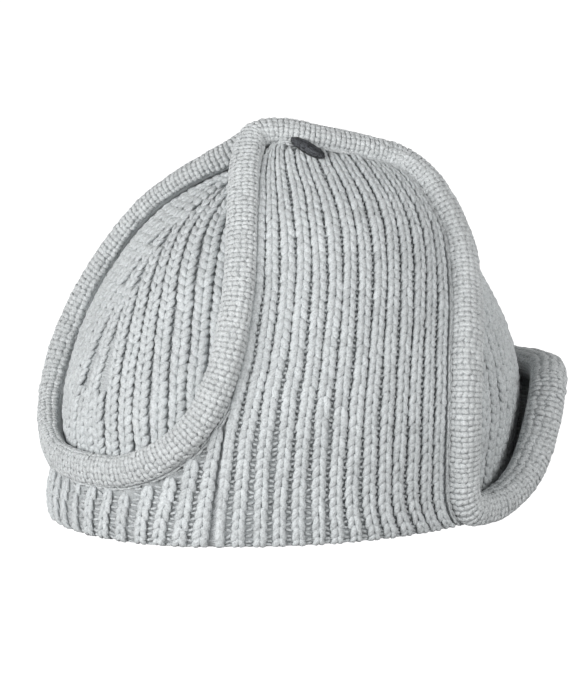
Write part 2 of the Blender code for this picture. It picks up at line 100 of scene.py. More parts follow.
def spline(points, steps, mirror=None):
    pts = np.array(points, float)
    if mirror is None:
        first, last = 2 * pts[0] - pts[1], 2 * pts[-1] - pts[-2]
    else:
        first, last = pts[1] * mirror, pts[-2] * mirror
    pts = np.vstack([first, pts, last])
    samples = []
    for i in range(1, len(pts) - 2):
        p = pts[i - 1:i + 3]
        knots = [0.0]
        for a, b in zip(p, p[1:]):
            knots.append(knots[-1] + max(np.linalg.norm(b - a), 1e-6) ** 0.5)
        t0, t1, t2, t3 = knots
        for t in np.linspace(t1, t2, steps, endpoint=False):
            a1 = (p[0] * (t1 - t) + p[1] * (t - t0)) / (t1 - t0)
            a2 = (p[1] * (t2 - t) + p[2] * (t - t1)) / (t2 - t1)
            a3 = (p[2] * (t3 - t) + p[3] * (t - t2)) / (t3 - t2)
            b1 = (a1 * (t2 - t) + a2 * (t - t0)) / (t2 - t0)
            b2 = (a2 * (t3 - t) + a3 * (t - t1)) / (t3 - t1)
            samples.append((b1 * (t2 - t) + b2 * (t - t1)) / (t2 - t1))
    samples.append(pts[-2])
    return np.array(samples)


def crownProfile():
    depth = hat["halfDepth"]
    curve = spline([(z, back * depth, front * depth) for z, back, front in crownRows], 60)
    middle = (curve[:, 1] + curve[:, 2]) / 2
    rise = np.concatenate([[0.0], np.cumsum(np.hypot(np.diff(curve[:, 0]), np.diff(middle)))])
    return rise, curve[:, 0], curve[:, 1] / depth, curve[:, 2] / depth


profile = crownProfile()
apexRise = profile[0][-1]


def smoothStep(t):
    t = np.clip(t, 0.0, 1.0)
    return t * t * (3 - 2 * t)


def unit(vectors):
    return vectors / np.maximum(np.linalg.norm(vectors, axis=-1, keepdims=True), 1e-9)


# Rib tops of the crown, for arrays of angles in degrees and rises up the crown
def basePoints(angle, rise):
    turn = np.radians(angle)
    height, back, front = (np.interp(rise, profile[0], column) for column in profile[1:])
    share = back + (front - back) * (1 + np.cos(turn)) / 2
    return np.stack([-hat["halfWidth"] * share * np.sin(turn),
                     hat["setback"] - hat["halfDepth"] * share * np.cos(turn), height], -1)


def normalsAt(angle, rise):
    rise = np.clip(rise, 0.0, apexRise - 1.0)
    roundWay = basePoints(angle + 0.5, rise) - basePoints(angle - 0.5, rise)
    upWay = basePoints(angle, rise + 0.6) - basePoints(angle, np.maximum(rise - 0.6, 0.0))
    normal = unit(np.cross(upWay, roundWay))
    normal[..., 2] *= smoothStep(rise / 8.0)  # at the hem the cloth stands on the floor
    return unit(normal)


def standPoints(angle, rise, stand):
    return basePoints(angle, rise) + normalsAt(angle, rise) * np.asarray(stand)[..., None]


def makeRibTable():
    turn = np.radians(np.linspace(0.0, 180.0, 721))
    speed = np.hypot(hat["halfWidth"] * np.cos(turn), hat["halfDepth"] * np.sin(turn))
    way = np.concatenate([[0.0], np.cumsum((speed[1:] + speed[:-1]) / 2)])
    return way / way[-1] * hat["ribs"] / 2, np.degrees(turn)


ribTable = makeRibTable()


def angleOfRib(rib):
    part = np.mod(rib, hat["ribs"])
    low = np.interp(part, *ribTable)
    high = 360.0 - np.interp(hat["ribs"] - part, *ribTable)
    return np.where(part > hat["ribs"] / 2, high, low)


def ribOfAngle(angle):
    return np.interp(angle, ribTable[1], ribTable[0])


# The crown drawn flat: the apex in the middle and the front down
def unroll(angle, rise):
    reach, turn = apexRise - np.asarray(rise), np.radians(angle)
    return np.stack([reach * np.sin(turn), -reach * np.cos(turn)], -1)


def rollUp(flat):
    angle = np.degrees(np.arctan2(flat[..., 0], -flat[..., 1]))
    return angle, apexRise - np.hypot(flat[..., 0], flat[..., 1])


def tipLift(flat):
    tip = unroll(*edgeRows[placeRow["tip"]][:2])
    away = np.linalg.norm(flat - tip, axis=-1)
    return hat["tipLift"] * np.exp(-(away / hat["tipReach"]) ** 2)


def brimLean(angle, rise):
    up = np.sin(np.clip(rise / hat["brimFlareRise"], 0.0, 1.0) * math.pi / 2)
    grown = smoothStep((hat["brimEnd"] - np.abs(angle)) / hat["brimEndSpan"])
    return hat["brimFlare"] * up * np.sqrt(grown)


def napeEase(angle, rise):
    roundWay = smoothStep((np.abs(angle) - hat["napeStart"]) / hat["napeSpan"])
    return hat["napeEase"] * roundWay * smoothStep((26.0 - rise) / 16.0)


def edgeRoute():
    flat = spline([unroll(row[0], row[1]) for row in edgeRows], routeSteps, (-1.0, 1.0))
    size = spline([row[2:4] for row in edgeRows], routeSteps, (1.0, 1.0))
    return flat, size


def insetRoute():
    flat, size = edgeRoute()
    step = 0.5
    origin = basePoints(*rollUp(flat))
    right = (basePoints(*rollUp(flat + [step, 0.0])) - origin) / step
    up = (basePoints(*rollUp(flat + [0.0, step])) - origin) / step
    ahead = np.vstack([flat[1:], flat[-1:]]) - np.vstack([flat[:1], flat[:-1]])
    moved = []
    for i in range(len(flat)):
        stretch = np.array([right[i], up[i]])
        metric = stretch @ stretch.T
        side = np.linalg.solve(metric, np.array([-ahead[i][1], ahead[i][0]]))
        length = math.sqrt(side @ metric @ side)
        moved.append(flat[i] + side / length * (size[i][0] / 2 + hat["rollSeam"]))
    return np.array(moved)


def along(points, shares):
    steps = np.linalg.norm(np.diff(points, axis=0), axis=1)
    way = np.concatenate([[0.0], np.cumsum(steps)]) / steps.sum()
    return np.stack([np.interp(shares, way, points[:, i]) for i in range(2)], -1)


# Places on the flat drawing between four curves; u and v are the shares across and up
def patchBetween(bottom, top, left, right, u, v):
    u, v = u[None, :, None], v[:, None, None]
    corners = ((1 - u) * (1 - v) * bottom[0] + u * (1 - v) * bottom[-1]
               + (1 - u) * v * top[0] + u * v * top[-1])
    return ((1 - v) * bottom[None] + v * top[None]
            + (1 - u) * left[:, None] + u * right[:, None] - corners)


inset = insetRoute()
joinAt, tipAt, shoulderAt, notchAt = (placeRow[name] * routeSteps
                                      for name in ("join", "tip", "shoulder", "notch"))
insetRises = rollUp(inset)[1]
footAt = next(i for i in range(shoulderAt, notchAt + 20) if insetRises[i] <= 0.5)
frontAngle = float(rollUp(inset[footAt])[0])
joinAngle, joinRise = (float(x) for x in rollUp(inset[joinAt]))
firstRib = float(ribOfAngle(frontAngle))
joinRib = 28.0  # the rib that runs up beside the edging, from here forwards
lowShares = np.array([0.0, 0.06, 0.2, 0.4, 0.6, 0.8, 1.0])
highRows = 7


def joinLine(share):
    hemAngle = float(angleOfRib(joinRib))
    return unroll(hemAngle + (joinAngle - hemAngle) * share ** 1.5, joinRise * share)


# Ear flap of the right side: ribs across, levels from 0 at the hem to 1 at its head
def flapPlaces(ribs, levels):
    lowCount = len(lowShares) - 1
    station = levels * (lowCount + highRows)
    lowPart = joinLine(np.interp(station, np.arange(lowCount + 1), lowShares))
    highPart = along(inset[joinAt:tipAt + 1], (station - lowCount) / highRows)
    backSide = np.where((station <= lowCount)[:, None], lowPart, highPart)
    way = np.concatenate([[0.0], np.cumsum(np.linalg.norm(np.diff(backSide, axis=0), axis=1))])
    frontLine = np.vstack([unroll(frontAngle, 0.0)[None], inset[shoulderAt:footAt][::-1]])
    frontSide = along(frontLine, way / way[-1])
    solidRibs = np.concatenate([[firstRib], np.arange(math.ceil(firstRib * 2 + 0.5) / 2,
                                                      joinRib + 0.01, 0.5)])
    share = (ribs - firstRib) / (joinRib - firstRib)
    hem = unroll(angleOfRib(ribs), 0.0)
    head = along(inset[tipAt:shoulderAt + 1][::-1], share)
    across = np.interp(ribs, solidRibs, np.linspace(0.0, 1.0, len(solidRibs)))
    return patchBetween(hem, head, frontSide, backSide, across, levels)


# Band at the nape, from the flap to the middle of the back
def napePlaces(ribs, levels):
    share = (ribs - joinRib) / (hat["ribs"] / 2 - joinRib)
    low = np.interp(levels * (len(lowShares) - 1), np.arange(len(lowShares)), lowShares)
    hem = unroll(angleOfRib(ribs), 0.0)
    head = along(inset[:joinAt + 1][::-1], share)
    centre = unroll(180.0, float(insetRises[0]) * low)
    return patchBetween(hem, head, joinLine(low), centre, share, levels)


def brimPlaces(ribs, levels):
    angle, rise = rollUp(inset[notchAt:])
    kept = rise > 0.0
    head = np.interp(angleOfRib(np.abs(ribs)), angle[kept][::-1], rise[kept][::-1])
    return unroll(angleOfRib(np.abs(ribs))[None, :], head[None, :] * levels[:, None])


def hemRound(rise):
    t = np.clip(rise / 5.0, 0.0, 1.0)
    return hat["hemFold"] + (1 - hat["hemFold"]) * np.sqrt(1 - (1 - t) ** 2)


# How far each cloth's outer side stands off the crown's rib tops
def turnUpStand(flat, lifted):
    angle, rise = rollUp(flat)
    stand = hat["turnUpGap"] + napeEase(angle, rise) + hat["turnUpWall"] * hemRound(rise)
    return stand + (tipLift(flat) if lifted else 0.0)


def brimStand(flat):
    angle, rise = rollUp(flat)
    return hat["turnUpGap"] + brimLean(angle, rise) + hat["turnUpWall"] * hemRound(rise)


def mirrorPoints(points):
    return points * np.array([-1.0, 1.0, 1.0])


# Mesh from arrays: quads and triangles, with a UV per corner and a tone per point
def meshFromArrays(name, vertices, corners, sizes, uvs, tone, material):
    mesh = bpy.data.meshes.new(name)
    mesh.vertices.add(len(vertices))
    mesh.vertices.foreach_set("co", (np.asarray(vertices) * 0.001).astype(np.float32).ravel())
    mesh.loops.add(len(corners))
    mesh.loops.foreach_set("vertex_index", corners.astype(np.int32))
    mesh.polygons.add(len(sizes))
    starts = np.concatenate([[0], np.cumsum(sizes)[:-1]])
    mesh.polygons.foreach_set("loop_start", starts.astype(np.int32))
    mesh.update(calc_edges=True)
    layer = mesh.uv_layers.new(name="yarn")
    layer.data.foreach_set("uv", uvs.astype(np.float32).ravel())
    toneLayer = mesh.attributes.new("tone", "FLOAT", "POINT")
    toneLayer.data.foreach_set("value", tone.astype(np.float32))
    mesh.shade_smooth()
    mesh.validate()
    mesh.materials.append(material)
    piece = bpy.data.objects.new(name, mesh)
    bpy.context.scene.collection.objects.link(piece)
    return piece


# Spindles of yarn: centres [n][k], with their half width and half thickness vectors.
# The first and last of the k are the pointed ends.
def spindleArrays(centres, halfWide, halfThick, sides, uvShift, tone):
    count, stations = centres.shape[:2]
    rings = stations - 2
    turn = 2 * math.pi * np.arange(sides) / sides
    ring = (centres[:, 1:-1, None] + halfWide[:, 1:-1, None] * np.cos(turn)[:, None]
            + halfThick[:, 1:-1, None] * np.sin(turn)[:, None])
    points = np.concatenate([centres[:, :1], ring.reshape(count, rings * sides, 3),
                             centres[:, -1:]], axis=1)
    corners, sizes, uvs = [], [], []
    last = rings * sides + 1
    for s in range(sides):
        t = (s + 1) % sides
        u0, u1 = s / sides, (s + 1) / sides
        corners += [0, 1 + t, 1 + s]
        sizes.append(3)
        uvs += [((u0 + u1) / 2, 0.0), (u1, 1 / (stations - 1)), (u0, 1 / (stations - 1))]
        for r in range(rings - 1):
            a, b = 1 + r * sides, 1 + (r + 1) * sides
            corners += [a + s, a + t, b + t, b + s]
            sizes.append(4)
            v0, v1 = (r + 1) / (stations - 1), (r + 2) / (stations - 1)
            uvs += [(u0, v0), (u1, v0), (u1, v1), (u0, v1)]
        a, v0 = 1 + (rings - 1) * sides, (stations - 2) / (stations - 1)
        corners += [a + s, a + t, last]
        sizes.append(3)
        uvs += [(u0, v0), (u1, v0), ((u0 + u1) / 2, 1.0)]
    corners, uvs = np.array(corners), np.array(uvs)
    perPiece = points.shape[1]
    allCorners = (corners[None] + perPiece * np.arange(count)[:, None]).ravel()
    allUvs = np.repeat(uvs[None], count, axis=0)
    allUvs[:, :, 1] += uvShift[:, None]
    return (points.reshape(-1, 3), allCorners, np.tile(sizes, count),
            allUvs.reshape(-1, 2), np.repeat(tone, perPiece))


def joinArrays(parts):
    points, corners, sizes, uvs, tones = [], [], [], [], []
    offset = 0
    for p, c, s, u, t in parts:
        points.append(p)
        corners.append(c + offset)
        sizes.append(s)
        uvs.append(u)
        tones.append(t)
        offset += len(p)
    return tuple(np.concatenate(x) for x in (points, corners, sizes, uvs, tones))


# Half width and half thickness vectors of spindles whose middles run over a surface
def spindleFrame(centres, normals, wide, thick):
    ahead = unit(np.gradient(centres, axis=1))
    out = unit(normals - ahead * (normals * ahead).sum(-1, keepdims=True))
    side = np.cross(out, ahead)
    return side * wide[..., None], out * thick[..., None]


def makeMaterial(name, colour, look):
    material = bpy.data.materials.new(name)
    material.use_nodes = True
    nodes, links = material.node_tree.nodes, material.node_tree.links
    shader = nodes["Principled BSDF"]
    shader.inputs["Roughness"].default_value = look["roughness"]
    shader.inputs["Sheen Weight"].default_value = look["sheen"]
    shader.inputs["Sheen Roughness"].default_value = 0.45
    shader.inputs["Specular IOR Level"].default_value = 0.25

    def add(kind, **values):
        node = nodes.new(kind)
        for key, value in values.items():
            if hasattr(node, key):
                setattr(node, key, value)
            else:
                node.inputs[key.replace("_", " ")].default_value = value
        return node

    place = add("ShaderNodeTexCoord")
    yarn = add("ShaderNodeUVMap", uv_map="yarn")
    tone = add("ShaderNodeAttribute", attribute_name="tone")

    # Melange: light and darker fibres lie mixed in the yarn
    fleck = add("ShaderNodeTexNoise", Scale=look["fleckScale"], Detail=2.0, Roughness=0.7)
    links.new(place.outputs["Object"], fleck.inputs["Vector"])
    drift = add("ShaderNodeTexNoise", Scale=38.0, Detail=2.0)
    links.new(place.outputs["Object"], drift.inputs["Vector"])
    ramp = add("ShaderNodeValToRGB")
    ramp.color_ramp.elements[0].position = 0.3
    ramp.color_ramp.elements[1].position = 0.56
    dark = [c * look["fleckDark"] for c in colour]
    ramp.color_ramp.elements[0].color = (*dark, 1.0)
    ramp.color_ramp.elements[1].color = (*colour, 1.0)
    links.new(fleck.outputs["Fac"], ramp.inputs["Fac"])
    spread = add("ShaderNodeMapRange")
    spread.inputs["From Min"].default_value = 0.3
    spread.inputs["From Max"].default_value = 0.7
    spread.inputs["To Min"].default_value = 1.0 - look["drift"]
    spread.inputs["To Max"].default_value = 1.0 + look["drift"]
    links.new(drift.outputs["Fac"], spread.inputs["Value"])
    shade = add("ShaderNodeMath", operation="MULTIPLY")
    links.new(spread.outputs["Result"], shade.inputs[0])
    links.new(tone.outputs["Fac"], shade.inputs[1])
    mix = add("ShaderNodeVectorMath", operation="SCALE")
    links.new(ramp.outputs["Color"], mix.inputs[0])
    links.new(shade.outputs["Value"], mix.inputs["Scale"])
    links.new(mix.outputs["Vector"], shader.inputs["Base Color"])

    # The plies wind round the yarn, and loose fibres cross them
    mapping = add("ShaderNodeMapping")
    mapping.inputs["Scale"].default_value = look["plyScale"]
    mapping.inputs["Rotation"].default_value = (0.0, 0.0, look["plyTurn"])
    links.new(yarn.outputs["UV"], mapping.inputs["Vector"])
    ply = add("ShaderNodeTexWave", Scale=1.0, Distortion=1.2, Detail=1.0)
    ply.bands_direction = "X"
    links.new(mapping.outputs["Vector"], ply.inputs["Vector"])
    fibre = add("ShaderNodeTexNoise", Scale=look["fibreScale"], Detail=3.0)
    links.new(place.outputs["Object"], fibre.inputs["Vector"])
    plyBump = add("ShaderNodeBump", Strength=look["plyBump"], Distance=0.0004)
    links.new(ply.outputs["Fac"], plyBump.inputs["Height"])
    fibreBump = add("ShaderNodeBump", Strength=look["fibreBump"], Distance=0.0003)
    links.new(fibre.outputs["Fac"], fibreBump.inputs["Height"])
    links.new(plyBump.outputs["Normal"], fibreBump.inputs["Normal"])
    links.new(fibreBump.outputs["Normal"], shader.inputs["Normal"])
    return material


yarnLook = {"roughness": 0.9, "sheen": 0.4, "fleckScale": 1250.0, "fleckDark": 0.68,
            "drift": 0.05, "plyScale": (2.0, 3.0, 1.0), "plyTurn": 0.6, "plyBump": 0.25,
            "fibreScale": 2600.0, "fibreBump": 0.55}
groundLook = dict(yarnLook, plyScale=(1.0, 1.0, 1.0), plyTurn=math.pi / 2, plyBump=0.6)
threadLook = dict(yarnLook, sheen=0.1, fleckScale=1100.0, fleckDark=0.12, plyBump=0.8,
                  fibreBump=0.4)
greyYarn = makeMaterial("greyMelangeYarn", (0.70, 0.73, 0.74), yarnLook)
# The ground cloth under the stitches is the same yarn, made darker than the stitches: painted
# shade in the furrows and gaps between the stitches
groundPaintedShade = makeMaterial("knitGroundPaintedShade", (0.58, 0.605, 0.615), groundLook)
paleYarn = makeMaterial("paleMelangeYarn", (0.72, 0.745, 0.752), yarnLook)
charcoalThread = makeMaterial("charcoalThread", (0.085, 0.09, 0.10), threadLook)
print("materials made")

random = np.random.default_rng(7)


# A closed wall between an outer and an inner grid of points, with the ribs and courses as UV
def shellArrays(outer, inner, ribs, courses, tone=1.0, outwards=True):
    rows, columns = outer.shape[:2]
    number = np.arange(rows * columns).reshape(rows, columns)
    shift = rows * columns
    quads = np.stack([number[:-1, :-1], number[:-1, 1:], number[1:, 1:], number[1:, :-1]], -1)
    quads = quads.reshape(-1, 4)
    if not outwards:
        quads = quads[:, ::-1]
    rim = np.concatenate([number[0], number[1:, -1], number[-1, -2::-1], number[-2:0:-1, 0]])
    ahead = np.roll(rim, -1)
    sides = np.stack([ahead, rim, rim + shift, ahead + shift], -1)
    if not outwards:
        sides = sides[:, ::-1]
    faces = np.concatenate([quads, quads[:, ::-1] + shift, sides])
    uv = np.stack(np.meshgrid(ribs, courses), -1).reshape(-1, 2)
    uv = np.concatenate([uv, uv])
    points = np.concatenate([outer.reshape(-1, 3), inner.reshape(-1, 3)])
    return (points, faces.ravel(), np.full(len(faces), 4), uv[faces.ravel()],
            np.full(len(points), tone))


# A closed dome: rings of points from the hem up, outer and inner, and a point on top of each
def domeArrays(outer, inner, outerTop, innerTop, ribs, courses, innerCourses):
    columns = outer.shape[1]
    points = np.concatenate([outer.reshape(-1, 3), inner.reshape(-1, 3), [outerTop, innerTop]])
    here = np.arange(columns)
    ahead = (here + 1) % columns
    corners, sizes, uvs = [], [], []

    def addFaces(index, ribValues, courseValues):
        corners.append(index.ravel())
        sizes.append(np.full(len(index), index.shape[1]))
        uvs.append(np.stack([ribValues, courseValues], -1).reshape(-1, 2))

    ribStep = ribs[1] - ribs[0]
    u0, u1 = ribs, ribs + ribStep
    for grid, values, start, outwards in ((outer, courses, 0, True),
                                          (inner, innerCourses, outer.shape[0] * columns, False)):
        for j in range(grid.shape[0] - 1):
            a, b = start + j * columns, start + (j + 1) * columns
            index = np.stack([a + here, a + ahead, b + ahead, b + here], -1)
            u = np.stack([u0, u1, u1, u0], -1)
            v = np.tile([values[j], values[j], values[j + 1], values[j + 1]], (columns, 1))
            if outwards:
                index, u, v = index[:, ::-1], u[:, ::-1], v[:, ::-1]
            addFaces(index, u, v)
        a = start + (grid.shape[0] - 1) * columns
        top = np.full(columns, len(points) - (2 if outwards else 1))
        index = np.stack([a + here, a + ahead, top], -1)
        u = np.stack([u0, u1, (u0 + u1) / 2], -1)
        v = np.tile([values[-1], values[-1], values[-1] + 1], (columns, 1))
        if outwards:
            index, u, v = index[:, ::-1], u[:, ::-1], v[:, ::-1]
        addFaces(index, u, v)
    base = outer.shape[0] * columns
    index = np.stack([here, ahead, base + ahead, base + here], -1)
    addFaces(index, np.stack([u0, u1, u1, u0], -1), np.tile([0.0, 0.0, -1.0, -1.0], (columns, 1)))
    return (points, np.concatenate(corners), np.concatenate(sizes), np.concatenate(uvs),
            np.ones(len(points)))


# A last row that closes the seam between a cloth and the roll at its head
def reachIntoRoll(outer, inner, reach):
    ends = []
    for grid, other in ((outer, inner), (inner, outer)):
        onward = unit(grid[-1] - grid[-2]) * reach
        across = (other[-1] - grid[-1]) * 0.25
        ends.append(np.vstack([grid, (grid[-1] + onward + across)[None]]))
    return ends


# The same arrays on the other side of the hat, faces still pointing outwards
def mirrorArrays(arrays):
    points, corners, sizes, uvs, tones = arrays
    starts = np.concatenate([[0], np.cumsum(sizes)[:-1]])
    order = np.arange(len(corners))
    for size in np.unique(sizes):
        first = starts[sizes == size]
        for k in range(size):
            order[first + k] = first + size - 1 - k
    return mirrorPoints(points), corners[order], sizes, uvs[order], tones


def placeOnFloor(arrays):
    points = arrays[0].copy()
    points[:, 2] = np.maximum(points[:, 2], 0.05)
    return (points, *arrays[1:])


def finishPiece(name, arrays, material, node, sharpAngle=None):
    piece = meshFromArrays(name, *placeOnFloor(arrays), material)
    if sharpAngle:
        piece.data.set_sharp_from_angle(angle=math.radians(sharpAngle))
    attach(piece, "root")
    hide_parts(node)
    piece.data.calc_loop_triangles()
    print(name, len(piece.data.loop_triangles), "triangles")
    return piece


# Depth of the ground under the ribs: it sinks between them
def ribRelief(rib, cloth):
    phase = np.abs(rib - np.round(rib)) * 2
    return cloth["crest"] + (cloth["valley"] - cloth["crest"]) * smoothStep((phase - 0.3) / 0.5)


# A cloth on the flat drawing, measured: ways up its ribs and the ribs' spacing
def measureCloth(places, stand, ribs, levelCount=80):
    levels = np.linspace(0.0, 1.0, levelCount)
    flat = places(ribs, levels)
    points = standPoints(*rollUp(flat), stand(flat))
    steps = np.linalg.norm(np.diff(points, axis=0), axis=2)
    upWay = unit(np.gradient(points, axis=0))[:, :-1]
    step = np.diff(points, axis=1)
    step = step - upWay * (step * upWay).sum(-1, keepdims=True)
    across = np.linalg.norm(step, axis=2) / np.diff(ribs)[None, :]
    return {"ribs": ribs, "flat": flat, "stand": stand, "count": levelCount,
            "way": np.vstack([np.zeros((1, len(ribs))), np.cumsum(steps, axis=0)]),
            "pitch": np.hstack([across, across[:, -1:]])}


def readTable(cloth, table, rib, level):
    column = np.interp(rib, cloth["ribs"], np.arange(len(cloth["ribs"])))
    column = np.clip(column, 0, len(cloth["ribs"]) - 1.001)
    row = np.clip(level * (cloth["count"] - 1), 0, cloth["count"] - 1.001)
    i, j = column.astype(int), row.astype(int)
    a, b = column - i, row - j
    if table.ndim == 3:
        a, b = a[..., None], b[..., None]
    return ((1 - b) * ((1 - a) * table[j, i] + a * table[j, i + 1])
            + b * ((1 - a) * table[j + 1, i] + a * table[j + 1, i + 1]))


def ribLength(cloth, rib):
    return np.interp(rib, cloth["ribs"], cloth["way"][-1])


# Points, normals and rib spacing at rib numbers and ways up the ribs
def clothSurface(cloth, facing=1.0):
    def surface(rib, way, height):
        length = ribLength(cloth, rib)
        level = way / length
        for _ in range(4):
            level = level + (way - readTable(cloth, cloth["way"], rib, level)) / length
        flat = readTable(cloth, cloth["flat"], rib, level)
        angle, rise = rollUp(flat)
        normal = normalsAt(angle, rise)
        stand = cloth["stand"](flat) + facing * height
        return (basePoints(angle, rise) + normal * stand[..., None], normal * facing,
                readTable(cloth, cloth["pitch"], rib, level))
    return surface


# Ribs of a worn knit wander a little
def wander(rib, way):
    return 0.035 * np.sin(way / 17.0 + rib * 2.1) + 0.02 * np.sin(way / 6.3 + rib * 4.7)


# Knit stitches, two legs each. A leg's rows are: share up the stitch, way across in rib
# spacings, depth in mm, half width in rib spacings and half thickness in mm.
def knitStitches(surface, rib, way, stitch, gain=1.0):
    count = len(rib)
    leg = np.array(stitch["leg"])
    gain = np.broadcast_to(gain, (count,))[:, None]
    parts = []
    for hand in (-1.0, 1.0):
        loose = random.normal(0.0, 1.0, (4, count, 1)) * stitch["loose"]
        up = (1.0 - leg[None, :, 0] if stitch["down"] else leg[None, :, 0]) + 0.06 * loose[0]
        legWay = way[:, None] + up * stitch["pitch"]
        middle = rib[:, None] + (wander(rib, way) * stitch["wander"])[:, None] + 0 * legWay
        spacing = surface(middle, legWay, 0 * legWay)[2]
        widest = stitch["ribWidth"] - stitch["narrowing"] * np.maximum(spacing - 7.0, 0.0)
        full = np.minimum(spacing * gain * stitch["fill"], widest)
        across = hand * (leg[None, :, 1] + 0.012 * loose[1]) * full / spacing
        centres, normals, _ = surface(middle + across, legWay, 0.12 * loose[2] - leg[None, :, 2])
        wide = leg[None, :, 3] * full * (1 + 0.06 * loose[3])
        thick = leg[None, :, 4] * np.minimum(1.0, spacing * gain / stitch["fullSpacing"])
        halfWide, halfThick = spindleFrame(centres, normals, wide, thick)
        tone = 1.0 + random.normal(0.0, stitch["toneSpread"], count)
        parts.append(spindleArrays(centres, halfWide, halfThick, stitch["sides"],
                                   random.uniform(0, 1, count), tone))
    return joinArrays(parts)


# Small bumps that lie across the furrows between the ribs
def purlBumps(surface, rib, way, purl):
    count = len(rib)
    share = np.array(purl["shape"])
    loose = random.normal(0.0, 1.0, (4, count, 1))
    tilt = np.where(random.uniform(0, 1, (count, 1)) < 0.5, -1.0, 1.0) * (0.7 + 0.3 * loose[3])
    legRib = rib[:, None] + share[None, :, 0] + 0.02 * loose[0]
    legWay = way[:, None] + (0.5 + (share[None, :, 1] - 0.5) * tilt
                             + 0.08 * loose[1]) * purl["pitch"]
    centres, normals, spacing = surface(legRib, legWay, 0.1 * loose[2] - share[None, :, 2])
    wide = np.repeat(share[None, :, 3], count, axis=0)
    thick = np.repeat(share[None, :, 4], count, axis=0)
    halfWide, halfThick = spindleFrame(centres, normals, wide, thick)
    # A tone below one darkens the bumps: painted shade in the furrows between the ribs
    tone = purl["tone"] + random.normal(0.0, 0.05, count)
    return spindleArrays(centres, halfWide, halfThick, purl["sides"],
                         random.uniform(0, 1, count), tone)


def stitchPlaces(ribs, low, high, pitch, slip=0.1):
    rib, way = [], []
    for r, start, end in zip(ribs, low, high):
        steps = start + np.arange(max(int((end - start) / pitch), 0)) * pitch
        rib.append(np.full(len(steps), r))
        way.append(steps + random.uniform(0.0, slip) * pitch)
    return np.concatenate(rib), np.concatenate(way)


# Which places on the flat drawing lie under the turned-up cloth of either side
def underTurnUp(flat):
    x, y = np.abs(flat[..., 0]), flat[..., 1]
    route = edgeRoute()[0][:footAt]
    hem = unroll(np.linspace(frontAngle, 180.0, 60), np.full(60, -5.0))
    loop = np.vstack([route, hem])
    inside = np.zeros(x.shape, bool)
    for (x0, y0), (x1, y1) in zip(loop, np.roll(loop, -1, axis=0)):
        if y0 != y1:
            crosses = (y0 > y) != (y1 > y)
            inside ^= crosses & (x < (x1 - x0) * (y - y0) / (y1 - y0) + x0)
    return inside


# Crown

crown = {
    "mergeSpacing": 4.3, "meanDepth": 1.4, "topDepth": 1.6, "coverMargin": 6.0,
    "lean": [(0.0, 0.0), (40.0, 0.1), (60.0, 0.35), (80.0, 0.65), (100.0, 1.2), (120.0, 2.2),
             (140.0, 3.4), (190.0, 5.0)], "leanEnd": 11.5, "leanFade": 7.5,
    "ground": {"crest": 0.8, "valley": 2.2}, "outerRows": 62, "innerRows": 34, "perRib": 4,
    "innerRelief": {"crest": 0.0, "valley": 1.3},
    "stitch": {"pitch": 3.8, "down": False, "sides": 6, "toneSpread": 0.035, "loose": 1.0,
               "wander": 1.0, "fullSpacing": 6.0, "ribWidth": 8.8, "narrowing": 0.0, "fill": 1.08,
               "leg": [(-0.32, 0.03, 1.6, 0.0, 0.0), (-0.06, 0.08, 0.85, 0.15, 0.8),
                       (0.35, 0.165, 0.45, 0.20, 1.0), (0.78, 0.255, 0.7, 0.20, 1.0),
                       (1.10, 0.30, 1.35, 0.155, 0.8), (1.34, 0.29, 2.2, 0.0, 0.0)]},
}


# How far a rib has moved to the middle of the back, in rib spacings; start is its way from there
def ribLean(start, rise):
    shift = np.interp(rise, *np.transpose(crown["lean"]))
    return shift * smoothStep((crown["leanEnd"] - start) / crown["leanFade"]) * (start > 0.5)


# Towards the middle of the back the ribs run up into one middle rib
def leanedRib(rib, rise):
    middle = hat["ribs"] / 2
    away = np.mod(rib, hat["ribs"]) - middle
    start = np.abs(away)
    return middle + np.sign(away) * np.maximum(start - ribLean(start, rise), 0.0)


def ribAtPlace(place, rise):
    middle = hat["ribs"] / 2
    away = np.mod(place, hat["ribs"]) - middle
    start = np.abs(away) + 0 * rise
    for _ in range(8):
        start = np.where(np.abs(away) > 0.5, np.abs(away) + ribLean(start, rise), start)
    return middle + np.sign(away) * start


def crownSurface(rib, rise, height):
    angle = angleOfRib(leanedRib(rib, rise))
    spacing = np.linalg.norm(basePoints(angleOfRib(leanedRib(rib + 0.4, rise)), rise)
                             - basePoints(angleOfRib(leanedRib(rib - 0.4, rise)), rise), axis=-1)
    return standPoints(angle, rise, height), normalsAt(angle, rise), spacing * 1.25


# Ribs are knitted together in pairs where they crowd towards the top
def mergeRibs(rib, spacing):
    gain, kept = np.ones(spacing.shape), np.ones(spacing.shape, bool)
    limit = crown["mergeSpacing"]
    for step in (2, 4, 8):
        goes, stays = rib % step == step // 2, rib % step == 0
        gain = gain * np.where(stays, 1 + smoothStep((1.15 - spacing / limit) / 0.19), 1.0)
        gain = gain * np.where(goes, 1 - 0.5 * smoothStep((1.19 - spacing / limit) / 0.19), 1.0)
        kept &= ~(goes & (spacing < limit))
        limit /= 2
    return gain, kept


def crownRelief(rib, spacing):
    limit = crown["mergeSpacing"]
    relief = ribRelief(rib, crown["ground"]) + 0 * spacing
    for step in (2, 4, 8):
        merged = smoothStep((1.15 - spacing / limit) / 0.3)
        relief = relief + (ribRelief(rib / step, crown["ground"]) - relief) * merged
        limit /= 2
    return relief


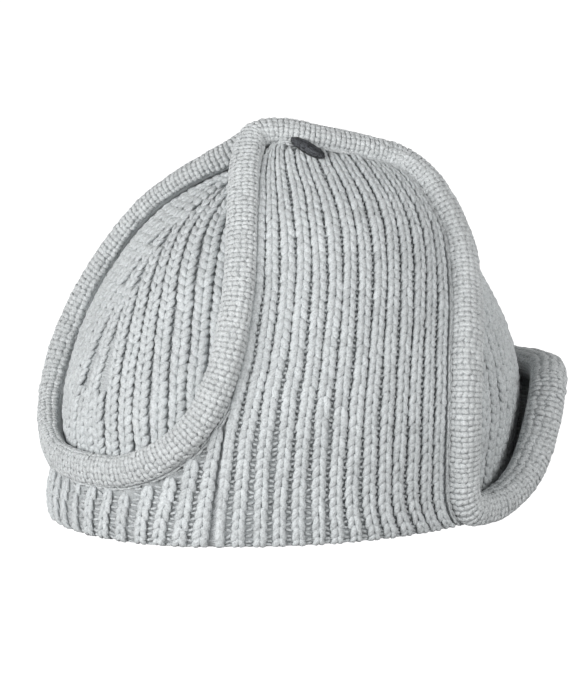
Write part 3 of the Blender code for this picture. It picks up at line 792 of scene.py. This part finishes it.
def makeCrownCloth():
    ribs = np.arange(hat["ribs"] * crown["perRib"]) / crown["perRib"]
    levels = np.linspace(0.0, 0.985, crown["outerRows"])
    rise = levels[:, None] * apexRise + 0 * ribs
    angle = angleOfRib(ribs)[None, :] + 0 * rise
    narrow = smoothStep((apexRise - rise) / 25.0)
    knitRibs = ribAtPlace(ribs + 0 * rise, rise)
    spacing = crownSurface(knitRibs, rise, 0 * rise)[2]
    mean = crown["meanDepth"]
    depth = mean + (crownRelief(knitRibs, spacing) - mean) * narrow
    outer = standPoints(angle, rise, -depth)
    innerRise = np.linspace(0.0, 0.97, crown["innerRows"])[:, None] * apexRise + 0 * ribs
    narrow = smoothStep((apexRise - innerRise) / 70.0)
    relief = ribRelief(ribs + 0.5, crown["innerRelief"])[None, :] * narrow
    inner = standPoints(angleOfRib(ribs)[None, :] + 0 * innerRise, innerRise,
                        relief * 0.9 - hat["crownWall"])
    top = basePoints(np.array(0.0), np.array(apexRise))
    pitch = crown["stitch"]["pitch"]
    arrays = domeArrays(outer, inner, top - [0, 0, crown["topDepth"]],
                        top - [0, 0, hat["crownWall"]], ribs,
                        levels * apexRise / pitch, innerRise[:, 0] / pitch)
    return finishPiece("crown_cloth", arrays, groundPaintedShade, "crown", 60)


def makeCrownStitches():
    ribs = np.arange(hat["ribs"])
    rib, rise = stitchPlaces(ribs, np.full(len(ribs), 1.4), np.full(len(ribs), apexRise - 5.0),
                             crown["stitch"]["pitch"])
    spacing = crownSurface(rib, rise, np.zeros(len(rib)))[2]
    gain, kept = mergeRibs(rib, spacing)
    fromMiddle = np.abs(leanedRib(rib, rise) - hat["ribs"] / 2)
    kept &= (rib == hat["ribs"] / 2) | (fromMiddle > 0.7)
    flat = unroll(angleOfRib(leanedRib(rib, rise)), rise + crown["stitch"]["pitch"] / 2)
    hidden = np.ones(len(rib), bool)
    margin = crown["coverMargin"]
    for x, y in ((0, 0), (1, 0), (-1, 0), (0, 1), (0, -1)):
        hidden &= underTurnUp(flat + [x * margin, y * margin])
    kept &= ~hidden
    arrays = knitStitches(crownSurface, rib[kept], rise[kept], crown["stitch"], gain[kept])
    return finishPiece("crown_stitches", arrays, greyYarn, "crown")


crownCloth = makeCrownCloth()
crownStitches = makeCrownStitches()
print("crown made")

# Ear flaps and the band at the nape

earFlaps = {
    "ground": {"crest": 1.0, "valley": 2.3}, "perRib": 6, "rows": 56, "seamReach": 1.3,
    "ribWidth": 8.0, "napeRibWidth": 9.2,
    "stitch": {"pitch": 4.1, "down": True, "sides": 6, "toneSpread": 0.045, "loose": 1.0,
               "wander": 1.0, "fullSpacing": 6.0, "ribWidth": 8.0, "narrowing": 0.85, "fill": 1.15,
               "leg": [(-0.34, 0.04, 1.6, 0.0, 0.0), (-0.08, 0.09, 0.75, 0.15, 0.85),
                       (0.33, 0.145, 0.4, 0.19, 0.95), (0.78, 0.215, 0.55, 0.19, 0.95),
                       (1.12, 0.245, 1.1, 0.15, 0.8), (1.38, 0.24, 1.9, 0.0, 0.0)]},
    # the purl tone below one darkens the bumps in the furrows: painted shade
    "purl": {"pitch": 2.2, "sides": 5, "tone": 0.9,
             "shape": [(-0.30, 0.2, 2.2, 0.0, 0.0), (-0.13, 0.35, 1.75, 0.62, 0.6),
                       (0.0, 0.5, 1.55, 0.68, 0.65), (0.13, 0.65, 1.75, 0.62, 0.6),
                       (0.30, 0.8, 2.2, 0.0, 0.0)]},
}


def flapStand(flat):
    return turnUpStand(flat, True)


def plainStand(flat):
    return turnUpStand(flat, False)


def turnUpShell(places, stand, ribs, lifted):
    levels = np.concatenate([[0.0, 0.004, 0.01, 0.018, 0.028, 0.042],
                             np.linspace(0.06, 1.0, earFlaps["rows"])])
    flat = places(ribs, levels)
    angle, rise = rollUp(flat)
    base = hat["turnUpGap"] + napeEase(angle, rise) + (tipLift(flat) if lifted else 0.0)
    height = stand(flat) - ribRelief(ribs, earFlaps["ground"])[None, :]
    outer = standPoints(angle, rise, np.maximum(height, base + 0.35))
    inner = standPoints(angle, rise, base)
    outer, inner = reachIntoRoll(outer, inner, earFlaps["seamReach"])
    length = np.concatenate([[0.0], np.cumsum(np.linalg.norm(np.diff(outer[:, 0], axis=0),
                                                             axis=1))])
    return shellArrays(outer, inner, ribs, length / earFlaps["stitch"]["pitch"], outwards=False)


def turnUpYarn(cloth, ribs, furrows, ribWidth):
    stitch = dict(earFlaps["stitch"], ribWidth=ribWidth)
    pitch = stitch["pitch"]
    surface = clothSurface(cloth)
    lengths = ribLength(cloth, ribs)
    rib, way = stitchPlaces(ribs, np.full(len(ribs), 0.7), lengths - 0.5, pitch)
    knit = knitStitches(surface, rib, way, stitch)
    lengths = ribLength(cloth, furrows)
    rib, way = stitchPlaces(furrows, np.full(len(furrows), 1.0), lengths - 1.0,
                            earFlaps["purl"]["pitch"])
    return [knit, purlBumps(surface, rib, way, earFlaps["purl"])]


def makeEarFlaps():
    perRib = earFlaps["perRib"]
    middle = hat["ribs"] / 2
    flapColumns = np.concatenate([[firstRib], np.arange(math.ceil(firstRib * perRib + 0.5),
                                                       joinRib * perRib + 0.5) / perRib])
    napeColumns = np.arange(joinRib * perRib, middle * perRib + 0.5) / perRib
    flapRibs = np.arange(math.ceil(firstRib + 0.3), joinRib + 0.01)
    napeRibs = np.arange(math.floor(joinRib) + 1, middle + 0.01)
    shells, yarn = [], []
    for stand, lifted, turnOver in ((flapStand, True, False), (plainStand, False, True)):
        made = [turnUpShell(flapPlaces, stand, flapColumns, lifted),
                turnUpShell(napePlaces, stand, napeColumns, lifted)]
        flapCloth = measureCloth(flapPlaces, stand, flapColumns)
        napeCloth = measureCloth(napePlaces, stand, napeColumns, 30)
        knit = turnUpYarn(flapCloth, flapRibs, flapRibs[:-1] + 0.5, earFlaps["ribWidth"])
        lastRibs = napeRibs[:-1] if turnOver else napeRibs
        knit += turnUpYarn(napeCloth, lastRibs, np.append(joinRib, napeRibs[:-1] + 0.5),
                           earFlaps["napeRibWidth"])
        shells += [mirrorArrays(a) for a in made] if turnOver else made
        yarn += [mirrorArrays(a) for a in knit] if turnOver else knit
    cloth = finishPiece("ear_flap_cloth", joinArrays(shells), groundPaintedShade, "ear_flap_band",
                        60)
    stitches = finishPiece("ear_flap_stitches", joinArrays(yarn), greyYarn, "ear_flap_band")
    return cloth, stitches


flapClothPiece, flapStitchPiece = makeEarFlaps()
print("ear flaps made")

# Front brim, knitted the same on both faces

brim = {
    "ground": {"crest": 1.7, "valley": 2.6}, "innerGround": {"crest": 0.2, "valley": 1.3},
    "perRib": 6, "rows": 24, "shortest": 5.0, "seamReach": 3.5,
    "stitch": dict(earFlaps["stitch"], toneSpread=0.04),
    "innerStitch": dict(earFlaps["stitch"], sides=5, leg=[
        (-0.34, 0.05, 2.0, 0.0, 0.0), (-0.10, 0.11, 1.0, 0.15, 0.9),
        (0.30, 0.14, 0.6, 0.175, 1.0), (0.75, 0.19, 0.85, 0.175, 1.0),
        (1.10, 0.18, 1.5, 0.145, 0.85), (1.38, 0.13, 2.2, 0.0, 0.0)]),
}


def brimInnerStand(flat):
    angle, rise = rollUp(flat)
    return hat["turnUpGap"] + brimLean(angle, rise)


def signedBrimPlaces(ribs, levels):
    flat = brimPlaces(ribs, levels)
    return flat * np.stack([np.where(ribs < 0, -1.0, 1.0), np.ones(len(ribs))], -1)[None]


def makeBrim():
    angle, rise = rollUp(inset[notchAt:])
    endAngle = angle[(rise >= brim["shortest"]) & (angle > 30)].max()
    endRib = float(ribOfAngle(endAngle))
    perRib = brim["perRib"]
    inside = np.arange(math.ceil(-endRib * perRib + 0.5), endRib * perRib - 0.4) / perRib
    columns = np.concatenate([[-endRib], inside, [endRib]])
    levels = np.concatenate([[0.0, 0.015, 0.035, 0.06, 0.09], np.linspace(0.12, 1, brim["rows"])])
    flat = signedBrimPlaces(columns, levels)
    low = brimInnerStand(flat)
    high = brimStand(flat) - ribRelief(columns, brim["ground"])[None, :]
    low = low + ribRelief(columns + 0.5, brim["innerGround"])[None, :]
    outer = standPoints(*rollUp(flat), np.maximum(high, low + 0.3))
    inner = standPoints(*rollUp(flat), low)
    outer, inner = reachIntoRoll(outer, inner, brim["seamReach"])
    shell = shellArrays(outer, inner, columns, np.append(levels, 1.02) * 12, outwards=False)
    outerCloth = measureCloth(signedBrimPlaces, brimStand, columns, 30)
    innerCloth = measureCloth(signedBrimPlaces, brimInnerStand, columns, 30)
    yarn = []
    ribs = np.arange(math.ceil(-endRib + 0.2), endRib - 0.2)
    for cloth, facing, chosen, stitch in ((outerCloth, 1.0, ribs, brim["stitch"]),
                                          (innerCloth, -1.0, ribs[:-1] + 0.5,
                                           brim["innerStitch"])):
        lengths = ribLength(cloth, chosen)
        rib, way = stitchPlaces(chosen, np.full(len(chosen), 0.7), lengths - 0.5,
                                stitch["pitch"])
        yarn.append(knitStitches(clothSurface(cloth, facing), rib, way, stitch))
    cloth = finishPiece("front_brim_cloth", shell, groundPaintedShade, "front_brim", 60)
    stitches = finishPiece("front_brim_stitches", joinArrays(yarn), greyYarn, "front_brim")
    return cloth, stitches


brimClothPiece, brimStitchPiece = makeBrim()
print("front brim made")

# Edging: a roll of finer plain knit all round, and the chain that links it to the ribs

edging = {
    "sides": 20, "spacing": 4.25, "meanHalves": (6.2, 5.6),
    # the core's tone below one is painted shade in the grooves between the trim stitches
    "coreSteps": 2, "coreShadeTone": 0.86, "sink": 0.28, "underSink": -0.55,
    "stitch": {"pitch": 2.8, "down": False, "sides": 5, "toneSpread": 0.04, "loose": 1.0,
               "wander": 0.0, "fullSpacing": 1.0, "ribWidth": 9.0, "narrowing": 0.0, "fill": 1.0,
               "leg": [(-0.26, 0.07, 0.9, 0.0, 0.0), (-0.02, 0.13, 0.3, 0.17, 0.45),
                       (0.36, 0.235, 0.05, 0.31, 0.5), (0.74, 0.28, 0.1, 0.30, 0.5),
                       (1.02, 0.29, 0.45, 0.18, 0.4), (1.22, 0.27, 1.0, 0.0, 0.0)]},
    "flapArc": (-42.0, 256.0), "brimArc": (-98.0, 262.0),
    "chain": {"pitch": 3.9, "down": False, "sides": 6, "toneSpread": 0.03, "loose": 0.8,
              "wander": 0.0, "fullSpacing": 0.1, "ribWidth": 9.0, "narrowing": 0.0, "fill": 1.0,
              "leg": [(-0.32, 0.05, 0.9, 0.0, 0.0), (-0.02, 0.35, 0.15, 0.45, 0.5),
                      (0.40, 0.62, -0.1, 0.60, 0.65), (0.85, 0.62, 0.1, 0.52, 0.55),
                      (1.15, 0.30, 0.9, 0.0, 0.0)]},
}


def edgingRoute():
    flat, size = edgeRoute()
    angle, rise = rollUp(flat)
    index = np.arange(len(flat))
    normal = normalsAt(angle, rise)
    halves = []
    for lifted in (True, False):
        lift = tipLift(flat) if lifted else 0.0
        lean = brimLean(angle, rise) * hat["rollLeanShare"]
        stand = hat["rollGap"] + size[:, 1] / 2 + np.where(index >= notchAt, lean, lift)
        halves.append((standPoints(angle, rise, stand), normal))
    (rightPoints, rightNormals), (leftPoints, leftNormals) = halves
    points = np.vstack([rightPoints[:-1], mirrorPoints(leftPoints)[:0:-1]])
    normals = np.vstack([rightNormals[:-1], mirrorPoints(leftNormals)[:0:-1]])
    sizes = np.vstack([size[:-1], size[:0:-1]])
    onBrim = np.concatenate([index[:-1] >= notchAt, (index >= notchAt)[:0:-1]]).astype(float)
    return points, normals, sizes, onBrim


def evenStations(spacing):
    points, normals, sizes, onBrim = edgingRoute()
    closed = np.vstack([points, points[:1]])
    way = np.concatenate([[0.0], np.cumsum(np.linalg.norm(np.diff(closed, axis=0), axis=1))])
    count = int(round(way[-1] / spacing))
    at = np.arange(count) * way[-1] / count

    def spread(values):
        values = np.concatenate([values, values[:1]])
        if values.ndim == 1:
            return np.interp(at, way, values)
        return np.stack([np.interp(at, way, values[:, i]) for i in range(values.shape[1])], -1)

    centre, normal = spread(points), unit(spread(normals))
    ahead = unit(np.roll(centre, -1, axis=0) - np.roll(centre, 1, axis=0))
    side = unit(np.cross(normal, ahead))  # towards the cloth that the roll finishes
    out = np.cross(ahead, side)
    return {"centre": centre, "side": side, "out": out, "size": spread(sizes),
            "onBrim": spread(onBrim), "ahead": ahead, "count": count,
            "spacing": way[-1] / count}


def readStation(stations, key, place):
    values = stations[key]
    i = np.floor(place).astype(int) % stations["count"]
    share = place - np.floor(place)
    ahead = values[(i + 1) % stations["count"]]
    if values.ndim > 1:
        share = share[..., None]
    return values[i] * (1 - share) + ahead * share


# Point and normal on the roll; turn is in degrees from its cloth side, outwards
def rollPoint(stations, place, turn, height):
    side, out = (readStation(stations, key, place) for key in ("side", "out"))
    size = readStation(stations, "size", place)
    c, s = np.cos(np.radians(turn)), np.sin(np.radians(turn))
    power = 2 / hat["rollSquareness"]
    a, b = size[..., 0] / 2, size[..., 1] / 2
    x = np.sign(c) * np.abs(c) ** power * a
    y = np.sign(s) * np.abs(s) ** power * b
    nx = np.sign(c) * np.abs(c) ** (2 - power) / a
    ny = np.sign(s) * np.abs(s) ** (2 - power) / b
    normal = unit(side * nx[..., None] + out * ny[..., None])
    centre = readStation(stations, "centre", place)
    return (centre + side * x[..., None] + out * y[..., None]
            + normal * np.asarray(height)[..., None], normal)


# Turn in degrees for a way round the roll in millimetres, on its mean section
def turnTable():
    turn = np.linspace(-180.0, 360.0, 541)
    c, s = np.cos(np.radians(turn)), np.sin(np.radians(turn))
    power = 2 / hat["rollSquareness"]
    x = np.sign(c) * np.abs(c) ** power * edging["meanHalves"][0]
    y = np.sign(s) * np.abs(s) ** power * edging["meanHalves"][1]
    way = np.concatenate([[0.0], np.cumsum(np.hypot(np.diff(x), np.diff(y)))])
    return way - np.interp(0.0, turn, way), turn


def makeEdging():
    stations = evenStations(edging["spacing"])
    roundWay, roundTurn = turnTable()
    count, sides = stations["count"], edging["sides"]
    steps = edging["coreSteps"]
    place = np.repeat(np.arange(count * steps)[:, None] / steps, sides, axis=1)
    turn = np.repeat((np.arange(sides) * 360.0 / sides)[None], count * steps, axis=0)
    under = smoothStep((np.abs(turn - 270.0) - 20.0) / 30.0)
    sink = edging["underSink"] + (edging["sink"] - edging["underSink"]) * under
    points = rollPoint(stations, place, turn, -sink)[0]
    here = np.arange(count * steps * sides).reshape(count * steps, sides)
    ahead, beside = np.roll(here, -1, axis=0), np.roll(here, -1, axis=1)
    faces = np.stack([here, beside, np.roll(ahead, -1, axis=1), ahead], -1).reshape(-1, 4)
    u = np.stack([place, place, place + 1 / steps, place + 1 / steps], -1)
    v = np.stack([turn, turn + 360 / sides, turn + 360 / sides, turn], -1) / 30.0
    uv = np.stack([u, v], -1).reshape(-1, 2)
    # The roll's core under the stitches is darkened by its tone: painted shade in the grooves
    # between the stitches
    core = (points.reshape(-1, 3), faces.ravel(), np.full(len(faces), 4), uv,
            np.full(count * steps * sides, edging["coreShadeTone"]))

    stitch = edging["stitch"]

    def surface(rib, way, height):
        turn = np.interp(way, roundWay, roundTurn)
        points, normals = rollPoint(stations, rib, turn, height)
        return points, normals, np.full(rib.shape, stations["spacing"])

    wales = np.arange(count)
    onBrim = stations["onBrim"] > 0.5
    low, high = (np.interp(np.where(onBrim, edging["brimArc"][k], edging["flapArc"][k]),
                           roundTurn, roundWay) for k in (0, 1))
    parts = []
    for chosen in (onBrim, ~onBrim):
        rib, way = stitchPlaces(wales[chosen], low[chosen], high[chosen], stitch["pitch"], 0.3)
        parts.append(knitStitches(surface, rib.astype(float), way, stitch))
    roll = finishPiece("edging_roll", core, groundPaintedShade, "edging")
    brimKnit = finishPiece("edging_stitches_brim", parts[0], paleYarn, "edging")
    flapKnit = finishPiece("edging_stitches_flaps", parts[1], paleYarn, "edging")
    return roll, brimKnit, flapKnit


# The linking chain lies over the seam between the ribs and the roll
def makeChain():
    flat = inset
    angle, rise = rollUp(flat)
    index = np.arange(len(flat))
    normal = normalsAt(angle, rise)
    halves = []
    for lifted in (True, False):
        lift = tipLift(flat) if lifted else 0.0
        lean = brimLean(angle, rise)
        base = np.where(index >= notchAt, lean, napeEase(angle, rise) + lift)
        stand = hat["turnUpGap"] + hat["turnUpWall"] * 0.82 * hemRound(rise) + base
        halves.append(standPoints(angle, np.maximum(rise, 0.8), stand))
    points = np.vstack([halves[0][:-1], mirrorPoints(halves[1])[:0:-1]])
    normals = np.vstack([normal[:-1], mirrorPoints(normal)[:0:-1]])
    closed = np.vstack([points, points[:1]])
    way = np.concatenate([[0.0], np.cumsum(np.linalg.norm(np.diff(closed, axis=0), axis=1))])
    count = int(way[-1] / edging["chain"]["pitch"])
    pitch = way[-1] / count
    closedNormals = np.vstack([normals, normals[:1]])

    def surface(rib, along, height):
        at = np.mod(along, way[-1])
        centre = np.stack([np.interp(at, way, closed[:, i]) for i in range(3)], -1)
        normal = unit(np.stack([np.interp(at, way, closedNormals[:, i]) for i in range(3)], -1))
        ahead = np.stack([np.interp(np.mod(along + 0.5, way[-1]), way, closed[:, i])
                          for i in range(3)], -1) - centre
        side = unit(np.cross(normal, ahead))
        return (centre + side * rib[..., None] + normal * height[..., None], normal,
                np.ones(rib.shape))

    stitch = dict(edging["chain"], pitch=pitch)
    arrays = knitStitches(surface, np.zeros(count), np.arange(count) * pitch, stitch)
    return finishPiece("edging_chain", arrays, paleYarn, "edging")


edgingRoll, brimKnit, flapKnit = makeEdging()
edgingChain = makeChain()
print("edging made")

# Button: an oval bed wound with dark thread

button = {"length": 16.5, "width": 6.4, "height": 2.6, "angle": 103.0, "rise": 178.6,
          "turn": -31.0, "gap": 0.35, "strands": 12, "strandWidth": 0.5, "strandThickness": 0.4,
          # the bed's low tone is painted shade in the gaps between the strands
          "strandTones": (0.35, 2.2), "bedPower": 0.85, "bedHeight": 0.85, "bedShadeTone": 0.5}


def makeButton():
    angle, rise = np.array(button["angle"]), np.array(button["rise"])
    centre = unroll(angle, rise)
    normal = normalsAt(angle, rise)
    down = unit(basePoints(angle, rise - 1.0) - basePoints(angle, rise))
    forward = np.cross(down, normal)
    turn = math.radians(button["turn"])
    longWay = down * math.cos(turn) + forward * math.sin(turn)
    wideWay = np.cross(normal, longWay)
    step = 0.5
    origin = basePoints(*rollUp(centre))
    stretch = np.array([(basePoints(*rollUp(centre + a)) - origin) / step
                        for a in (np.array([step, 0.0]), np.array([0.0, step]))])
    toFlat = np.linalg.pinv(stretch.T)
    bed = hat["turnUpGap"] + hat["turnUpWall"] + button["gap"]

    def bedPoint(x, y, height):
        offset = longWay * np.asarray(x)[..., None] + wideWay * np.asarray(y)[..., None]
        flat = centre + offset @ toFlat.T
        place = rollUp(flat)
        return standPoints(*place, bed + tipLift(flat) + height), normalsAt(*place)

    sides, rings = 32, [(0.0, 0.0), (0.86, 0.0), (0.97, 0.25), (0.93, 0.55), (0.75, 0.8),
                        (0.4, 0.95), (0.0, 1.0)]
    turnRound = 2 * math.pi * np.arange(sides) / sides
    grid = []
    for share, height in rings[1:-1]:
        c, s = np.cos(turnRound), np.sin(turnRound)
        x = np.sign(c) * np.abs(c) ** button["bedPower"] * button["length"] / 2 * share
        y = np.sign(s) * np.abs(s) ** button["bedPower"] * button["width"] / 2 * share
        level = height * button["height"] * button["bedHeight"]
        grid.append(bedPoint(x, y, np.full(sides, level))[0])
    grid = np.array(grid)
    bottom = bedPoint(0.0, 0.0, 0.0)[0]
    top = bedPoint(0.0, 0.0, button["height"] * button["bedHeight"])[0]
    points = np.concatenate([grid.reshape(-1, 3), [bottom, top]])
    here = np.arange(sides)
    ahead = (here + 1) % sides
    corners, sizes = [], []
    for j in range(len(grid) - 1):
        a, b = j * sides, (j + 1) * sides
        corners.append(np.stack([a + here, a + ahead, b + ahead, b + here], -1).ravel())
        sizes.append(np.full(sides, 4))
    lastRing = (len(grid) - 1) * sides
    corners.append(np.stack([ahead, here, np.full(sides, len(points) - 2)], -1).ravel())
    corners.append(np.stack([lastRing + here, lastRing + ahead,
                             np.full(sides, len(points) - 1)], -1).ravel())
    sizes += [np.full(sides, 3), np.full(sides, 3)]
    corners = np.concatenate(corners)
    # The bed under the strands is darkened by its tone: painted shade in the gaps between the
    # strands
    core = (points, corners, np.concatenate(sizes), points[corners][:, :2],
            np.full(len(points), button["bedShadeTone"]))

    across = (np.arange(button["strands"]) + 0.5) / button["strands"] * 2 - 1
    along = np.sin(np.linspace(-1.0, 1.0, 13) * math.pi / 2)
    x = along[None, :] * button["length"] / 2 * np.sqrt(1 - 0.75 * across ** 2)[:, None]
    lens = np.sqrt(np.clip(1 - (x / (button["length"] / 2)) ** 2, 0.0, 1.0))
    y = across[:, None] * button["width"] / 2 * (0.4 + 0.6 * lens) * 0.9
    y = y + random.normal(0.0, 0.2, x.shape)
    dome = np.clip(1 - (x / (button["length"] / 2)) ** 2 - (2 * y / button["width"]) ** 2, 0, 1)
    height = button["height"] * (0.12 + 0.76 * np.sqrt(dome)) + random.normal(0, 0.12, x.shape)
    centres, normals = bedPoint(x, y, height)
    wide = np.full(x.shape, button["strandWidth"] * 0.75)
    thick = np.full(x.shape, button["strandThickness"])
    halfWide, halfThick = spindleFrame(centres, normals, wide, thick)
    tone = random.uniform(*button["strandTones"], button["strands"])
    strands = spindleArrays(centres, halfWide, halfThick, 8, random.uniform(0, 1, len(tone)),
                            tone)
    return finishPiece("tip_button_thread", joinArrays([core, strands]), charcoalThread,
                       "tip_button")


makeButton()
print("button made")

# Floor, backdrop and soft studio light

studio = {"floor": (0.55, 0.55, 0.55), "glow": 1.0, "world": 0.18,
          "lights": [("keyLight", (-0.3, 1.67, 0.3), 1.5, 36.0),
                     ("leftLight", (-1.67, -0.3, 0.3), 1.4, 18.0),
                     ("rightLight", (0.2, -1.69, 0.3), 1.2, 10.0)]}


def makeStudio():
    bpy.ops.mesh.primitive_plane_add(size=40.0, location=(0, 0, 0))
    floor = bpy.context.object
    floor.name = "studio_floor"
    material = bpy.data.materials.new("studioFloor")
    material.use_nodes = True
    shader = material.node_tree.nodes["Principled BSDF"]
    shader.inputs["Base Color"].default_value = (*studio["floor"], 1.0)
    shader.inputs["Roughness"].default_value = 0.9
    shader.inputs["Specular IOR Level"].default_value = 0.1
    shader.inputs["Emission Color"].default_value = (1.0, 1.0, 1.0, 1.0)
    shader.inputs["Emission Strength"].default_value = studio["glow"]
    floor.data.materials.append(material)
    floor.visible_diffuse = False  # the bright floor throws no light up at the hat
    world = bpy.data.worlds.new("studioWorld")
    bpy.context.scene.world = world
    world.use_nodes = True
    world.node_tree.nodes["Background"].inputs["Color"].default_value = (1.0, 1.0, 1.0, 1.0)
    world.node_tree.nodes["Background"].inputs["Strength"].default_value = studio["world"]
    for name, (x, y, z), size, power in studio["lights"]:
        turn = math.atan2(y, x) + math.pi / 2
        tilt = math.atan2(math.hypot(x, y), z - 0.08)
        bpy.ops.object.light_add(type="AREA", location=(x, y, z), rotation=(tilt, 0, turn))
        light = bpy.context.object
        light.name = name
        light.data.shape = "DISK"
        light.data.size = size
        light.data.energy = power


makeStudio()
bpy.context.scene.view_settings.view_transform = "Standard"
print("studio made")

bpy.context.view_layer.update()
